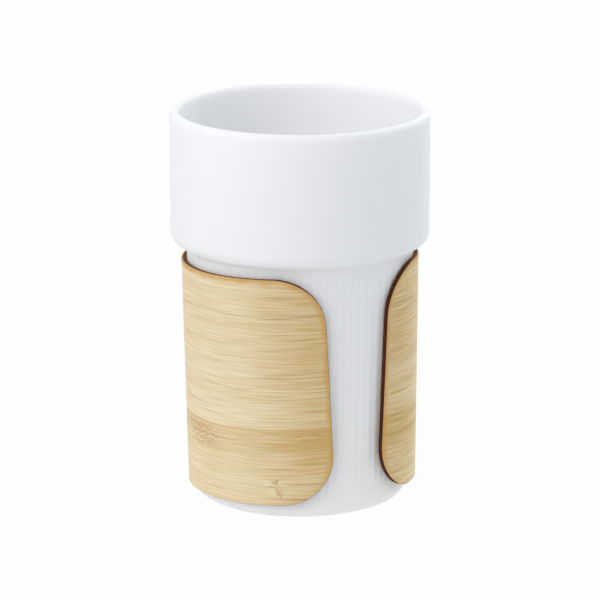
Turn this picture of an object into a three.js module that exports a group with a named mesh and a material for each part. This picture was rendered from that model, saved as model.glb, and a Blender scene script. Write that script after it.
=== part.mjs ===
// Porcelain mug with a wide plain collar, a fluted tapering body and an open bamboo hand sleeve.
// Millimetres, +Z up. The origin is on the cup's axis at the table, and the sleeve's gap faces -Y.

import * as THREE from 'three';
import { mergeVertices } from 'three/addons/utils/BufferGeometryUtils.js';

// Cup outside
const CUP_HEIGHT = 121.5;
const COLLAR_HEIGHT = 41.75;
const COLLAR_RADIUS = 40;
const COLLAR_OVERHANG = 4.95;
const COLLAR_UNDERSIDE_ROUNDING = 4.25;
const BODY_TAPER = 2.05;
const BASE_ROUNDING = 3.5;
const FOOT_RING_WIDTH = 3.2;
const FOOT_RECESS = 1.2;

// Cup inside
const COLLAR_WALL = 2.8;
const INNER_STEP_ROUNDING = 4;
const BODY_WALL = 3.2;
const FLOOR_THICKNESS = 4.5;
const FLOOR_ROUNDING = 8;

// Flutes, cut into the body from just above the base to the collar
const FLUTE_COUNT = 80;
const FLUTE_DEPTH = 0.2;
const FLUTE_TOP_RUN_OUT = 1.2;
const FLUTE_FOOT_RUN_OUT = 3;

// Sleeve: a straight laminated strip with round corners, bent round the tapering body
const FACE_VENEER = 0.45;
const CORE_VENEER = 0.45;
const BACK_VENEER = 0.4;
const GLUE_LINE = 0.1;
const SLEEVE_TOP_GAP = 5;
const SLEEVE_FOOT_GAP = 3.5;
const SLEEVE_OPENING = 18.7;
const SLEEVE_CORNER_RADIUS = 15.3;
const SLEEVE_CLEARANCE = 0.25;

// The sleeve hangs a little askew, about a level line this far round from the middle of its opening
const SLEEVE_LEAN = THREE.MathUtils.degToRad(0.52);
const SLEEVE_LEAN_BEARING = THREE.MathUtils.degToRad(-22);

// Facets
const CUP_SEGMENTS = 2 * FLUTE_COUNT;
const COLLAR_ARC_STEPS = 3;
const LIP_STEPS = 4;
const BASE_ARC_STEPS = 2;
const FLOOR_ARC_STEPS = 2;
const SLEEVE_CORNER_STEPS = 6;
const SLEEVE_MIDDLE_STEPS = 48;
const SLEEVE_ROWS = 2;

// The body's two ends: the neck, where the collar's underside meets it, and the base
const NECK_Z = CUP_HEIGHT - COLLAR_HEIGHT;
const NECK_RADIUS = COLLAR_RADIUS - COLLAR_OVERHANG;
const BASE_RADIUS = NECK_RADIUS - BODY_TAPER;

// The centre of the collar's round underside, and how far it turns in before it meets the neck.
// Where the overhang is the greater, it turns a quarter and ends in a flat ledge.
const COLLAR_ARC_RADIUS = COLLAR_RADIUS - COLLAR_UNDERSIDE_ROUNDING;
const COLLAR_ARC_REACH = Math.max(0, (NECK_RADIUS - COLLAR_ARC_RADIUS) / COLLAR_UNDERSIDE_ROUNDING);
const COLLAR_ARC_TURN = Math.acos(COLLAR_ARC_REACH);
const COLLAR_ARC_Z = NECK_Z + COLLAR_UNDERSIDE_ROUNDING * Math.sin(COLLAR_ARC_TURN);

const PORCELAIN = { color: 0xf3f4f5, roughness: 0.16, metalness: 0 };
const BAMBOO_FACE = { color: 0xe3cf9f, roughness: 0.55, metalness: 0 };
const BAMBOO_CORE = { color: 0xb98f55, roughness: 0.65, metalness: 0 };
const BAMBOO_BACK = { color: 0xd9c190, roughness: 0.6, metalness: 0 };

// Outside radius of the body at a height, measured over the crests between the flutes.
function bodyRadius(z) {
  return THREE.MathUtils.lerp(BASE_RADIUS, NECK_RADIUS, z / NECK_Z);
}

// Points along an arc of a profile, in equal turns, both ends included.
function arc(centreRadius, centreZ, radius, from, to, steps) {
  return Array.from({ length: steps + 1 }, (_, i) => {
    const angle = THREE.MathUtils.lerp(from, to, i / steps);
    return new THREE.Vector2(centreRadius + radius * Math.cos(angle), centreZ + radius * Math.sin(angle));
  });
}

// The cup's half section, from the underside's middle round the outside, over the lip and down the inside.
// Each point carries how deep the flutes are there, from 0 to 1.
function cupProfile() {
  const points = [];
  const add = (point, flute = 0) => points.push({ point, flute });
  const quarter = Math.PI / 2;

  const footOuter = BASE_RADIUS - BASE_ROUNDING;
  const footInner = footOuter - FOOT_RING_WIDTH;
  add(new THREE.Vector2(0, FOOT_RECESS));
  add(new THREE.Vector2(footInner - FOOT_RECESS, FOOT_RECESS));
  add(new THREE.Vector2(footInner, 0));
  arc(footOuter, BASE_ROUNDING, BASE_ROUNDING, -quarter, 0, BASE_ARC_STEPS).forEach((p) => add(p));

  const fluteBottom = BASE_ROUNDING + FLUTE_FOOT_RUN_OUT;
  const fluteTop = NECK_Z - FLUTE_TOP_RUN_OUT;
  add(new THREE.Vector2(bodyRadius(fluteBottom), fluteBottom), 1);
  add(new THREE.Vector2(bodyRadius(fluteTop), fluteTop), 1);
  if (NECK_RADIUS < COLLAR_ARC_RADIUS) {
    add(new THREE.Vector2(NECK_RADIUS, NECK_Z));
  }
  arc(COLLAR_ARC_RADIUS, COLLAR_ARC_Z, COLLAR_UNDERSIDE_ROUNDING, -COLLAR_ARC_TURN, 0, COLLAR_ARC_STEPS)
    .forEach((p) => add(p));

  const lipRadius = COLLAR_WALL / 2;
  arc(COLLAR_RADIUS - lipRadius, CUP_HEIGHT - lipRadius, lipRadius, 0, Math.PI, LIP_STEPS)
    .forEach((p) => add(p));

  const innerStepZ = NECK_Z + COLLAR_WALL;
  const innerArcZ = innerStepZ + INNER_STEP_ROUNDING;
  const innerArcRadius = COLLAR_RADIUS - COLLAR_WALL - INNER_STEP_ROUNDING;
  arc(innerArcRadius, innerArcZ, INNER_STEP_ROUNDING, 0, -quarter, COLLAR_ARC_STEPS).forEach((p) => add(p));
  add(new THREE.Vector2(NECK_RADIUS - BODY_WALL, innerStepZ));

  const floorArcZ = FLOOR_THICKNESS + FLOOR_ROUNDING;
  const floorArcRadius = bodyRadius(floorArcZ) - BODY_WALL - FLOOR_ROUNDING;
  arc(floorArcRadius, floorArcZ, FLOOR_ROUNDING, 0, -quarter, FLOOR_ARC_STEPS).forEach((p) => add(p));
  add(new THREE.Vector2(0, FLOOR_THICKNESS));
  return points;
}

// Turns the half section and presses every second meridian in, where the section is fluted.
function cupGeometry() {
  const profile = cupProfile();
  const geometry = new THREE.LatheGeometry(profile.map(({ point }) => point), CUP_SEGMENTS);
  const position = geometry.getAttribute('position');
  for (let i = 0; i < position.count; i += 1) {
    const meridian = Math.floor(i / profile.length);
    const { point, flute } = profile[i % profile.length];
    if (flute > 0 && meridian % 2 === 1) {
      const scale = (point.x - FLUTE_DEPTH * flute) / point.x;
      position.setX(i, position.getX(i) * scale);
      position.setZ(i, position.getZ(i) * scale);
    }
  }
  geometry.rotateX(Math.PI / 2);
  return closed(geometry);
}

// The same surface with its doubled vertices joined.
function closed(geometry) {
  geometry.deleteAttribute('normal');
  geometry.deleteAttribute('uv');
  const merged = mergeVertices(geometry);
  merged.computeVertexNormals();
  return merged;
}

// The cone that the sleeve's inner face lies on. It clears the crests at the top, and at its foot it
// also leaves room for the sleeve's lean. Distances run from the cone's apex, and are negative where
// the apex is above.
function sleeveCone() {
  const topZ = NECK_Z - SLEEVE_TOP_GAP;
  const height = topZ - SLEEVE_FOOT_GAP;
  const topRadius = bodyRadius(topZ) + SLEEVE_CLEARANCE;
  const leanRoom = height * Math.sin(SLEEVE_LEAN);
  const footRadius = bodyRadius(SLEEVE_FOOT_GAP) + SLEEVE_CLEARANCE + leanRoom;
  const slope = Math.atan2(topRadius - footRadius, height);
  const sine = Math.sin(slope);
  const footDistance = footRadius / sine;
  const middleDistance = footDistance + height / 2;
  const middleAngle = Math.PI - SLEEVE_OPENING / 2 / (middleDistance * sine);
  const halfLength = middleDistance * Math.tan(middleAngle * sine);
  return { topZ, height, slope, sine, footDistance, halfLength };
}

// Columns across the flat strip, from one free edge to the other: where each lies along the strip, and
// how far the round corners cut it short at its top and foot.
function stripColumns(halfLength) {
  const radius = SLEEVE_CORNER_RADIUS;
  const corner = Array.from({ length: SLEEVE_CORNER_STEPS + 1 }, (_, i) => {
    const turn = (Math.PI / 2) * (i / SLEEVE_CORNER_STEPS);
    return { along: halfLength - radius * (1 - Math.cos(turn)), inset: radius * (1 - Math.sin(turn)) };
  });
  const straight = halfLength - radius;
  const middle = Array.from({ length: SLEEVE_MIDDLE_STEPS - 1 }, (_, i) => {
    const share = (i + 1) / SLEEVE_MIDDLE_STEPS;
    return { along: THREE.MathUtils.lerp(-straight, straight, share), inset: 0 };
  });
  const left = corner.map(({ along, inset }) => ({ along: -along, inset }));
  return [...left, ...middle, ...corner.reverse()];
}

// One ply of the sleeve: a flat board of the strip's outline, bent onto the cone at its place in the
// laminate. The strip is straight when flat, so on the cone it rises towards its ends.
function veneerGeometry(cone, innerFace, thickness) {
  const columns = stripColumns(cone.halfLength);
  const steps = columns.length - 1;
  const geometry = new THREE.BoxGeometry(steps, 1, 1, steps, SLEEVE_ROWS, 1);
  const position = geometry.getAttribute('position');
  for (let i = 0; i < position.count; i += 1) {
    const { along, inset } = columns[Math.round(position.getX(i) + steps / 2)];
    const up = THREE.MathUtils.lerp(inset, cone.height - inset, position.getY(i) + 0.5);
    const out = innerFace + thickness * (position.getZ(i) + 0.5);
    const middle = cone.footDistance + up;
    const fromApex = Math.sign(middle) * Math.hypot(along, middle);
    const bearing = Math.atan(along / middle) / cone.sine;
    const radius = fromApex * cone.sine + out * Math.cos(cone.slope);
    const rise = (fromApex - cone.footDistance) * Math.cos(cone.slope) - out * cone.sine;
    position.setXYZ(i, -radius * Math.sin(bearing), radius * Math.cos(bearing), rise - cone.height);
  }
  return closed(geometry);
}

function piece(name, geometry, finish) {
  const mesh = new THREE.Mesh(geometry, new THREE.MeshStandardMaterial(finish));
  mesh.name = name;
  return mesh;
}

// The three plies, from the cup outwards, hung askew from the middle of the sleeve's top edge.
function sleeve() {
  const cone = sleeveCone();
  const coreFace = BACK_VENEER + GLUE_LINE;
  const outerFace = coreFace + CORE_VENEER + GLUE_LINE;
  const group = new THREE.Group();
  group.add(
    piece('sleeve_back_veneer', veneerGeometry(cone, 0, BACK_VENEER), BAMBOO_BACK),
    piece('sleeve_core_veneer', veneerGeometry(cone, coreFace, CORE_VENEER), BAMBOO_CORE),
    piece('sleeve_face_veneer', veneerGeometry(cone, outerFace, FACE_VENEER), BAMBOO_FACE),
  );
  group.position.z = cone.topZ;
  const line = new THREE.Vector3(Math.sin(SLEEVE_LEAN_BEARING), -Math.cos(SLEEVE_LEAN_BEARING), 0);
  group.quaternion.setFromAxisAngle(line, SLEEVE_LEAN);
  return group;
}

const mug = new THREE.Group();
mug.add(piece('porcelain_cup', cupGeometry(), PORCELAIN), sleeve());

export default mug;
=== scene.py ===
"""Looks of an open porcelain mug in a bent bamboo hand sleeve, dressed round the mug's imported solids."""

import logging
import math
from dataclasses import dataclass
from enum import Enum
from typing import Any, Iterable, Sequence

import bpy
import numpy as np
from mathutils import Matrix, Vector


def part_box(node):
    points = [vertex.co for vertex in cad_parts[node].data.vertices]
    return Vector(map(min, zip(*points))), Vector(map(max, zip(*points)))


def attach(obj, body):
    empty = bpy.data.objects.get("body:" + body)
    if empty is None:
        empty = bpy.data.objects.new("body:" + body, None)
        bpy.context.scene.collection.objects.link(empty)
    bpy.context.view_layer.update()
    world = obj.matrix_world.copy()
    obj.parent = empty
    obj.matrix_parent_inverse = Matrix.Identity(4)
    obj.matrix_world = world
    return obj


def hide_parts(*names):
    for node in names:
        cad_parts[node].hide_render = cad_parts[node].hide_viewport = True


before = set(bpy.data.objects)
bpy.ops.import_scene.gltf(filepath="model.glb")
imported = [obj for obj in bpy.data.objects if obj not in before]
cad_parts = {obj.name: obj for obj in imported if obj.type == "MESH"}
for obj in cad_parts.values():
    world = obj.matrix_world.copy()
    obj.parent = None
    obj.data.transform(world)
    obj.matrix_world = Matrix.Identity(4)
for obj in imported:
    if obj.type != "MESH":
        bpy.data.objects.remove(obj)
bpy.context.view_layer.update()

IMAGE_SIDE_PX = 600
SENSOR_WIDTH_MM = 36.0
MM = 0.001
MERGE_DISTANCE = 0.002 * MM
QUARTER_TURN = math.pi / 2

STRIP_MAP = "strip"
EDGE_DISTANCE = "edge_distance"
GLAZE_POOL = "glaze_pool"
FLUTE_SHARE = "flute"

log = logging.getLogger("mug")

Colour = tuple[float, float, float, float]
Tint = tuple[float, float, float]
Band = tuple[float, float]
Socket = bpy.types.NodeSocket

WHITE: Colour = (1.0, 1.0, 1.0, 1.0)
WARM_TINT: Tint = (1.0, 0.96, 0.985)
COOL_TINT: Tint = (0.97, 0.985, 1.0)


def srgb(red: float, green: float, blue: float) -> Colour:
    """Turns a colour as a screen shows it, from 0 to 255, into the shader's linear values.

    Args:
        red: The red share.
        green: The green share.
        blue: The blue share.

    Returns:
        The linear colour with full alpha.
    """

    def linear(value: float) -> float:
        """One channel, from 0 to 255, as a linear share."""
        share = value / 255.0
        return share / 12.92 if share <= 0.04045 else ((share + 0.055) / 1.055) ** 2.4

    return linear(red), linear(green), linear(blue), 1.0


class Body(Enum):
    """The two bodies that the joint moves apart."""

    CUP = "cup"
    SLEEVE = "sleeve"


class Ply(Enum):
    """The sleeve's veneers, each with its node in the solids and its slot in the record."""

    BACK = ("sleeve_back_veneer", "bamboo_back")
    CORE = ("sleeve_core_veneer", "bamboo_core")
    FACE = ("sleeve_face_veneer", "bamboo_face")

    def __init__(self, node: str, slot: str) -> None:
        """Keeps the ply's node and slot names."""
        self.node = node
        self.slot = slot


class GrainMark(Enum):
    """Marks in the bamboo's grain: length along it and width across it in millimetres, and noise octaves."""

    SWAY = (60.0, 18.0, 1.0)
    HAIR = (11.0, 0.27, 0.0)
    FIBRE = (36.0, 0.5, 2.0)
    VEIN = (26.0, 0.34, 1.0)
    GATHER = (36.0, 3.0, 1.0)
    BLUSH = (30.0, 1.1, 2.0)
    BROAD = (90.0, 4.5, 2.0)

    def __init__(self, length: float, width: float, octaves: float) -> None:
        """Keeps the mark's sizes.

        Args:
            length: Its length along the grain.
            width: Its width across the grain.
            octaves: How many finer octaves its noise has.
        """
        self.length = length
        self.width = width
        self.octaves = octaves


class TreeMaker:
    """A node tree in the making, with short calls that place and wire its nodes."""

    def __init__(self, tree: bpy.types.NodeTree) -> None:
        """Starts on a tree, which may already hold nodes."""
        self.tree = tree

    def socket(self, name: str, kind: str, default: Any = None, out: bool = False) -> str:
        """Adds a named input or output to the tree.

        Args:
            name: What the socket is called.
            kind: The socket's type, without its NodeSocket prefix.
            default: The value that an unlinked input has.
            out: Whether it is an output.

        Returns:
            The socket's identifier, by which a modifier sets it.
        """
        made = self.tree.interface.new_socket(
            name, in_out="OUTPUT" if out else "INPUT", socket_type="NodeSocket" + kind
        )
        if default is not None:
            made.default_value = default
        return made.identifier

    def add(self, kind: str, feeds: dict[Any, Any] | None = None, **settings: Any) -> bpy.types.Node:
        """Places a node.

        Args:
            kind: The node's type name.
            feeds: Input name or number to the value or socket that feeds it.
            **settings: The node's own properties.

        Returns:
            The node.
        """
        node = self.tree.nodes.new(kind)
        for name, value in settings.items():
            setattr(node, name, value)
        for key, value in (feeds or {}).items():
            self.feed(node.inputs[key], value)
        return node

    def feed(self, socket: Socket, value: Any) -> None:
        """Links a socket to an input, or sets the input's value.

        Args:
            socket: The input.
            value: Another node's output, or a plain value.
        """
        if isinstance(value, bpy.types.NodeSocket):
            self.tree.links.new(value, socket)
        else:
            socket.default_value = value

    def feed_all(self, node: bpy.types.Node, values: dict[str, Any]) -> None:
        """Links or sets several named inputs of a node."""
        for name, value in values.items():
            self.feed(node.inputs[name], value)

    def math(self, operation: str, *terms: Any, clamp: bool = False) -> Socket:
        """A math node on one to three numbers or sockets.

        Args:
            operation: The math node's operation.
            *terms: Its inputs, in order.
            clamp: Whether the result is held between 0 and 1.

        Returns:
            The node's result.
        """
        node = self.add("ShaderNodeMath", dict(enumerate(terms)), operation=operation, use_clamp=clamp)
        return node.outputs[0]

    def vector(self, operation: str, *terms: Any) -> Socket:
        """A vector math node on two or three vectors or sockets."""
        return self.add("ShaderNodeVectorMath", dict(enumerate(terms)), operation=operation).outputs[0]

    def length(self, vector: Socket) -> Socket:
        """A vector's length."""
        return self.add("ShaderNodeVectorMath", {0: vector}, operation="LENGTH").outputs["Value"]

    def scaled(self, vector: Socket, factor: float) -> Socket:
        """A vector times a number."""
        return self.add("ShaderNodeVectorMath", {0: vector, 3: factor}, operation="SCALE").outputs[0]

    def parts(self, vector: Socket) -> Sequence[Socket]:
        """A vector's three numbers."""
        return self.add("ShaderNodeSeparateXYZ", {0: vector}).outputs

    def joined(self, x: Any = 0.0, y: Any = 0.0, z: Any = 0.0) -> Socket:
        """A vector made of three numbers or sockets."""
        return self.add("ShaderNodeCombineXYZ", {0: x, 1: y, 2: z}).outputs[0]

    def smooth(self, value: Any, low: Any, high: Any) -> Socket:
        """A smooth step of a value, from 0 at low to 1 at high, or back where low is the greater.

        Args:
            value: The number or socket that is stepped.
            low: Where the step leaves 0.
            high: Where it reaches 1.

        Returns:
            The step's value.
        """
        feeds = {"Value": value, "From Min": low, "From Max": high}
        return self.add("ShaderNodeMapRange", feeds, interpolation_type="SMOOTHSTEP").outputs["Result"]

    def mix(self, share: Any, first: Any, second: Any) -> Socket:
        """Mixes two colours.

        Args:
            share: How much of the second there is.
            first: The first colour or socket.
            second: The second colour or socket.

        Returns:
            The mixed colour.
        """
        return self.add("ShaderNodeMix", {0: share, 6: first, 7: second}, data_type="RGBA").outputs[2]

    def noise(self, vector: Socket, detail: float, roughness: float = 0.5) -> Socket:
        """A fractal noise of unit scale at a vector, from 0 to 1.

        Args:
            vector: Where it is read, already scaled.
            detail: How many octaves it has.
            roughness: How strong the finer octaves are.

        Returns:
            The noise's value.
        """
        feeds = {"Vector": vector, "Scale": 1.0, "Detail": detail, "Roughness": roughness}
        return self.add("ShaderNodeTexNoise", feeds).outputs[0]


def shader_group(name: str, outputs: dict[str, str], inputs: dict[str, tuple[str, Any]]) -> TreeMaker:
    """Starts a shader node group with its sockets.

    Args:
        name: The group's name.
        outputs: Output name to socket type.
        inputs: Input name to socket type and default.

    Returns:
        The maker, whose tree has one Group Input and one Group Output node.
    """
    maker = TreeMaker(bpy.data.node_groups.new(name, "ShaderNodeTree"))
    for label, kind in outputs.items():
        maker.socket(label, kind, out=True)
    for label, (kind, default) in inputs.items():
        maker.socket(label, kind, default)
    maker.add("NodeGroupInput", name="In")
    maker.add("NodeGroupOutput", name="Out")
    return maker


def new_material(name: str) -> tuple[bpy.types.Material, TreeMaker, bpy.types.Node]:
    """Makes a node material with a plain Principled BSDF.

    Args:
        name: The material's name.

    Returns:
        The material, the maker of its tree, and its Principled BSDF.
    """
    material = bpy.data.materials.new(name)
    material.use_nodes = True
    maker = TreeMaker(material.node_tree)
    return material, maker, material.node_tree.nodes["Principled BSDF"]


@dataclass(frozen=True)
class GrainRecipe:
    """How the grain's marks tell. A tone of 0 is pale and 1 is deep, and a band is where a mark fades in."""

    finer_octaves: float = 0.55
    sway_reach: float = 0.5
    pale_tone: float = 0.18
    endward_share: float = 0.46
    broad_share: float = 0.6
    fibre_share: float = 1.0
    hair_share: float = 0.8
    slat_share: float = 0.1
    dark_band: Band = (0.22, 0.6)
    dark_share: float = 0.25
    middle_tone: float = 0.4
    joint_band: Band = (0.94, 0.99)
    joint_gather: Band = (0.36, 0.6)
    joint_share: float = 0.35
    vein_band: Band = (0.58, 0.72)
    vein_gather: Band = (0.34, 0.66)
    vein_least: float = 0.35
    vein_endward: float = 0.5
    blush_band: Band = (0.3, 0.7)
    fibre_height: float = -0.6
    fibre_roughness: float = 0.16


@dataclass(frozen=True)
class ScorchRecipe:
    """How unevenly a hot cut browns the strip, as shares of its reach and its burnt rim."""

    patches_per_metre: tuple[float, float, float] = (130.0, 170.0, 1.0)
    patch_octaves: float = 2.0
    reach_least: float = 0.25
    reach_spread: float = 1.5
    halo_band: Band = (1.25, 0.1)
    halo_least: float = 0.5
    halo_spread: float = 0.5
    rim_least: float = 0.6
    rim_spread: float = 0.8
    char_full: float = 0.35
    faint_from_mm: float = 2.0
    foot_share: float = 0.25


class SharedEffects:
    """The shader node groups that more than one finish uses, each built once."""

    def __init__(self) -> None:
        """Builds the groups."""
        self.grain = self.bamboo_grain(GrainRecipe())
        self.scorch = self.edge_scorch(ScorchRecipe())

    @staticmethod
    def bamboo_grain(recipe: GrainRecipe) -> bpy.types.ShaderNodeTree:
        """Fibres, veins and pressed slats, read along and across the flat strip.

        Args:
            recipe: How strongly each mark tells.

        Returns:
            The group: a colour between its pale, deep and vein inputs, which drifts a little from olive to
            rosy, a height for bump, and a roughness.
        """
        maker = shader_group(
            "bamboo_grain",
            {"Color": "Color", "Height": "Float", "Roughness": "Float"},
            {
                "Strip": ("Vector", None),
                "Pale": ("Color", None),
                "Deep": ("Color", None),
                "Vein": ("Color", None),
                "Olive": ("Color", None),
                "Rosy": ("Color", None),
                "Streaks": ("Float", 1.0),
                "Seed": ("Float", 0.0),
                "Endward From": ("Float", 50.0),
                "Endward To": ("Float", 100.0),
                "Slat Height": ("Float", 18.0),
                "Slat Start": ("Float", 0.0),
                "Dark Slat": ("Float", 1.0),
                "Roughness": ("Float", 0.5),
            },
        )
        given = maker.tree.nodes["In"].outputs
        in_mm = maker.scaled(given["Strip"], 1.0 / MM)
        across = maker.parts(in_mm)
        shift = maker.joined(z=given["Seed"])

        def stretched(source: Socket, mark: GrainMark) -> Socket:
            """Noise drawn out along the strip, in marks of one kind."""
            place = maker.vector("MULTIPLY_ADD", source, (1.0 / mark.length, 1.0 / mark.width, 1.0), shift)
            return maker.noise(place, mark.octaves, recipe.finer_octaves)

        def raised(tone: Socket, noise: Socket, share: float) -> Socket:
            """A tone with a share of a noise, about its middle, added."""
            return maker.math("MULTIPLY_ADD", maker.math("SUBTRACT", noise, 0.5), share, tone)

        sway = maker.math("MULTIPLY_ADD", stretched(in_mm, GrainMark.SWAY), recipe.sway_reach, across[1])
        wavy = maker.joined(across[0], sway)
        hair = stretched(wavy, GrainMark.HAIR)
        fibre = stretched(wavy, GrainMark.FIBRE)
        vein = stretched(wavy, GrainMark.VEIN)
        gather = stretched(wavy, GrainMark.GATHER)
        blush = stretched(wavy, GrainMark.BLUSH)
        broad = stretched(wavy, GrainMark.BROAD)

        # The tone deepens and the veins grow stronger from the strip's middle towards both free ends.
        endward = maker.smooth(maker.math("ABSOLUTE", across[0]), given["Endward From"], given["Endward To"])
        tone = maker.math("MULTIPLY_ADD", endward, recipe.endward_share, recipe.pale_tone)
        tone = raised(tone, broad, recipe.broad_share)
        tone = raised(tone, fibre, recipe.fibre_share)
        tone = raised(tone, hair, recipe.hair_share)

        rung = maker.math("SUBTRACT", across[1], given["Slat Start"])
        rung = maker.math("DIVIDE", rung, given["Slat Height"])
        slat = maker.math("FLOOR", rung)
        part = maker.math("FRACT", rung)
        own = maker.add("ShaderNodeTexWhiteNoise", {"W": slat}, noise_dimensions="1D").outputs["Value"]
        tone = raised(tone, own, recipe.slat_share)
        chosen = maker.math("COMPARE", slat, given["Dark Slat"], 0.5)
        dark = maker.math("MULTIPLY", chosen, maker.smooth(part, *recipe.dark_band))
        tone = maker.math("MULTIPLY_ADD", dark, recipe.dark_share, tone)
        spread = maker.math("SUBTRACT", tone, recipe.middle_tone)
        tone = maker.math("MULTIPLY_ADD", spread, given["Streaks"], recipe.middle_tone, clamp=True)

        gathered = maker.smooth(gather, *recipe.joint_gather)
        joint = maker.math("MULTIPLY", maker.smooth(part, *recipe.joint_band), gathered)
        gathered = maker.smooth(gather, *recipe.vein_gather)
        lines = maker.math("MULTIPLY", maker.smooth(vein, *recipe.vein_band), gathered)
        lines = maker.math("MAXIMUM", lines, maker.math("MULTIPLY", joint, recipe.joint_share))
        strength = maker.math("MULTIPLY_ADD", endward, recipe.vein_endward, recipe.vein_least)
        lines = maker.math("MULTIPLY", lines, strength)
        lines = maker.math("MULTIPLY", lines, given["Streaks"], clamp=True)

        hue = maker.mix(maker.smooth(blush, *recipe.blush_band), given["Olive"], given["Rosy"])
        fine = maker.vector("MULTIPLY", maker.mix(tone, given["Pale"], given["Deep"]), hue)
        out = maker.tree.nodes["Out"].inputs
        maker.feed(out["Color"], maker.mix(lines, fine, given["Vein"]))
        maker.feed(out["Height"], maker.math("MULTIPLY_ADD", fibre, recipe.fibre_height, hair))
        rough = maker.math("MULTIPLY_ADD", fibre, recipe.fibre_roughness, given["Roughness"])
        maker.feed(out["Roughness"], rough)
        return maker.tree

    @staticmethod
    def edge_scorch(recipe: ScorchRecipe) -> bpy.types.ShaderNodeTree:
        """Browning that a hot cut leaves, by the distance in millimetres from the strip's cut edge.

        Args:
            recipe: How unevenly it browns.

        Returns:
            The group: the browned colour, fainter near the strip's foot, and how much is charred.
        """
        maker = shader_group(
            "edge_scorch",
            {"Color": "Color", "Char": "Float"},
            {
                "Distance": ("Float", 0.0),
                "Strip": ("Vector", None),
                "Base": ("Color", None),
                "Scorch": ("Color", None),
                "Toast": ("Color", None),
                "Burnt": ("Color", None),
                "Burnt From": ("Float", 50.0),
                "Burnt To": ("Float", 100.0),
                "Reach": ("Float", 3.0),
                "Rim": ("Float", 0.3),
                "Faint Below": ("Float", 16.0),
            },
        )
        given = maker.tree.nodes["In"].outputs
        place = maker.vector("MULTIPLY", given["Strip"], recipe.patches_per_metre)
        patches = maker.noise(place, recipe.patch_octaves)

        def uneven(whole: Socket, least: float, spread: float, clamp: bool = False) -> Socket:
            """A share of a whole that varies from patch to patch, from its least over its spread."""
            share = maker.math("MULTIPLY_ADD", patches, spread, least)
            return maker.math("MULTIPLY", whole, share, clamp=clamp)

        reach = uneven(given["Reach"], recipe.reach_least, recipe.reach_spread)
        halo = maker.smooth(maker.math("DIVIDE", given["Distance"], reach), *recipe.halo_band)
        halo = uneven(halo, recipe.halo_least, recipe.halo_spread, clamp=True)
        rim = uneven(given["Rim"], recipe.rim_least, recipe.rim_spread)
        char = maker.smooth(given["Distance"], rim, maker.math("MULTIPLY", rim, recipe.char_full))

        in_mm = maker.parts(maker.scaled(given["Strip"], 1.0 / MM))
        lasting = maker.smooth(in_mm[1], recipe.faint_from_mm, given["Faint Below"])
        lasting = maker.math("MULTIPLY_ADD", lasting, 1.0 - recipe.foot_share, recipe.foot_share)
        warm = maker.mix(maker.math("MULTIPLY", halo, lasting), given["Base"], given["Scorch"])
        burnt = maker.smooth(maker.math("ABSOLUTE", in_mm[0]), given["Burnt From"], given["Burnt To"])
        edge = maker.mix(burnt, given["Toast"], given["Burnt"])
        out = maker.tree.nodes["Out"].inputs
        maker.feed(out["Color"], maker.mix(char, warm, edge))
        maker.feed(out["Char"], char)
        return maker.tree


@dataclass(frozen=True)
class PorcelainGlaze:
    """White porcelain that lets a little light through, under a clear glaze.

    The glaze pools in the flutes, ripples a little, and leaves the foot ring bare.
    """

    white: Colour = (0.982, 0.985, 0.988, 1.0)
    pooled: Colour = (0.965, 0.97, 0.976, 1.0)
    bare: Colour = (0.80, 0.785, 0.75, 1.0)
    roughness: float = 0.4
    gloss: float = 0.22
    bare_roughness: float = 0.75
    bare_height: float = 0.35 * MM
    bare_fade: float = 0.5
    ripple_length: float = 9.0 * MM
    ripple_depth: float = 0.02 * MM
    ripple_octaves: float = 2.0
    ripple_strength: float = 0.5
    ripple_tint: float = 0.12
    ripple_roughness: float = 0.06
    translucence: float = 0.8
    light_reach: float = 3.5 * MM
    light_spread: tuple[float, float, float] = (1.0, 1.0, 1.0)

    def build(self) -> bpy.types.Material:
        """Makes the glazed material.

        Returns:
            The material.
        """
        material, maker, surface = new_material("glazed_porcelain")
        place = maker.add("ShaderNodeTexCoord").outputs["Object"]
        height = maker.parts(place)[2]
        pool = maker.add("ShaderNodeAttribute", attribute_name=GLAZE_POOL).outputs["Fac"]
        ripple = maker.noise(maker.scaled(place, 1.0 / self.ripple_length), self.ripple_octaves)
        bare = maker.smooth(height, self.bare_height, self.bare_height * self.bare_fade)
        wave = maker.math("SUBTRACT", ripple, 0.5)
        tint = maker.math("MULTIPLY_ADD", wave, self.ripple_tint, pool, clamp=True)
        glazed = maker.mix(tint, self.white, self.pooled)
        maker.feed(surface.inputs["Base Color"], maker.mix(bare, glazed, self.bare))
        sheen = maker.math("MULTIPLY_ADD", ripple, self.ripple_roughness, self.roughness)
        rough = maker.math("MULTIPLY_ADD", bare, self.bare_roughness - self.roughness, sheen)
        maker.feed(surface.inputs["Roughness"], rough)
        feeds = {"Strength": self.ripple_strength, "Distance": self.ripple_depth, "Height": ripple}
        maker.feed(surface.inputs["Normal"], maker.add("ShaderNodeBump", feeds).outputs[0])
        surface.inputs["Specular IOR Level"].default_value = self.gloss
        surface.inputs["Subsurface Weight"].default_value = self.translucence
        surface.inputs["Subsurface Radius"].default_value = self.light_spread
        surface.inputs["Subsurface Scale"].default_value = self.light_reach
        return material


@dataclass(frozen=True)
class Knuckle:
    """A growth node in one slat, or one stroke of a scar, in millimetres on the flat strip.

    It is drawn in flecks or in one soft patch. Its slant is how far it leans along the strip as it rises.
    """

    along: float
    up: float
    half_width: float
    half_height: float
    strength: float
    flecked: bool = True
    colour: Colour = srgb(180, 130, 64)
    slant: float = 0.0
    solid_share: float = 0.3
    fleck_length: float = 1.5
    fleck_width: float = 0.36
    fleck_octaves: float = 1.0
    fleck_band: Band = (0.42, 0.66)


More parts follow.
